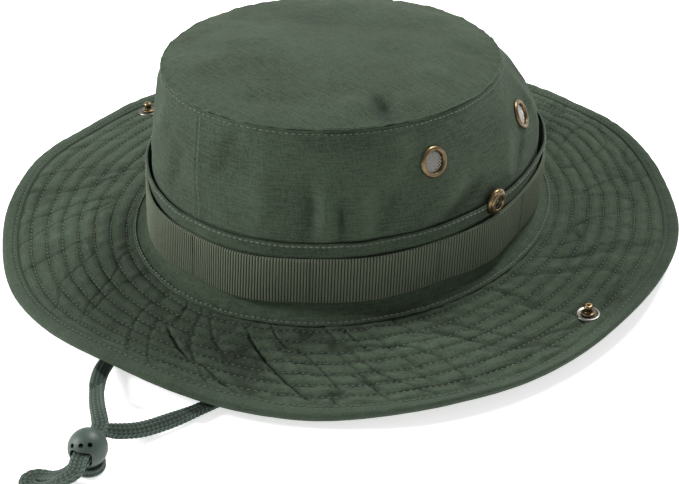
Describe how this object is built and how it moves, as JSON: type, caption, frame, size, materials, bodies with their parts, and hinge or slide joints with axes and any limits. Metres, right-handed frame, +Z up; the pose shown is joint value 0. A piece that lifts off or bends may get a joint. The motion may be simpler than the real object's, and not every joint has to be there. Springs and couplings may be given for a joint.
{
  "type": "boonie hat",
  "caption": "Wide-brimmed ripstop sun hat with a foliage band, screened vents, fold-up brim sides with snaps, and a flat chin cord with a lock.",
  "frame": {"origin": "on the table, under the middle of the hat's brim", "axes": "+Z up, the wearer looks along -Y, +X is the wearer's left"},
  "size_m": [0.313, 0.4172, 0.1013],
  "materials": {
    "ripstop": "olive green cotton-nylon ripstop, matt",
    "lining": "darker olive cotton, matt",
    "webbing": "ribbed olive webbing, matt",
    "antique_brass": "darkened brass, satin",
    "pewter": "dark nickel plate, satin",
    "spring_steel": "bright wire",
    "vent_mesh": "fine woven wire, dull",
    "braid": "flat braided polyester cord, dark green",
    "lock_plastic": "moulded green plastic, satin"
  },
  "bodies": {
    "root": {"base_band": "ripstop", "brim_lower_back": "lining", "brim_lower_front": "lining", "brim_upper_back": "ripstop", "brim_upper_front": "ripstop", "chin_cord": "braid", "cord_anchor_left": "lining", "cord_anchor_right": "lining", "crown_tip": "ripstop", "crown_wall_left": "ripstop", "crown_wall_right": "ripstop", "foliage_webbing": "webbing", "hem_back": "ripstop", "hem_front": "ripstop", "snap_socket_eyelet_left": "antique_brass", "snap_socket_eyelet_right": "antique_brass", "snap_socket_left": "antique_brass", "snap_socket_right": "antique_brass", "snap_socket_spring_left": "spring_steel", "snap_socket_spring_right": "spring_steel", "sweatband": "lining", "vent_left_back_mesh": "vent_mesh", "vent_left_back_ring": "antique_brass", "vent_left_back_washer": "antique_brass", "vent_left_front_mesh": "vent_mesh", "vent_left_front_ring": "antique_brass", "vent_left_front_washer": "antique_brass", "vent_right_back_mesh": "vent_mesh", "vent_right_back_ring": "antique_brass", "vent_right_back_washer": "antique_brass", "vent_right_front_mesh": "vent_mesh", "vent_right_front_ring": "antique_brass", "vent_right_front_washer": "antique_brass"},
    "brim_left": {"flap_left_lower_back": "lining", "flap_left_lower_front": "lining", "flap_left_upper_back": "ripstop", "flap_left_upper_front": "ripstop", "hem_left": "ripstop", "snap_stud_left": "antique_brass", "stud_cap_left": "pewter", "stud_washer_left": "pewter"},
    "brim_right": {"flap_right_lower_back": "lining", "flap_right_lower_front": "lining", "flap_right_upper_back": "ripstop", "flap_right_upper_front": "ripstop", "hem_right": "ripstop", "snap_stud_right": "antique_brass", "stud_cap_right": "pewter", "stud_washer_right": "pewter"},
    "cord_lock": {"cord_lock_body": "lock_plastic", "cord_lock_spring": "spring_steel"},
    "lock_button": {"cord_lock_button": "lock_plastic"}
  },
  "joints": [
    {"name": "brim_fold_left", "type": "hinge", "parent": "root", "child": "brim_left", "pos_m": [0.1015, 0, 0.0074], "axis": [0, -1, 0], "range_deg": [0, 99]},
    {"name": "brim_fold_right", "type": "hinge", "parent": "root", "child": "brim_right", "pos_m": [-0.1015, 0, 0.0074], "axis": [0, 1, 0], "range_deg": [0, 102]},
    {"name": "cord_lock_slide", "type": "slide", "parent": "root", "child": "cord_lock", "axis": [0.4129, -0.9108, 0], "range_m": [-0.004, 0]},
    {"name": "lock_button_press", "type": "slide", "parent": "cord_lock", "child": "lock_button", "axis": [0, 0, 1], "range_m": [0, 0.0022], "stiffness_N_per_m": 800, "springref_m": -0.001}
  ]
}
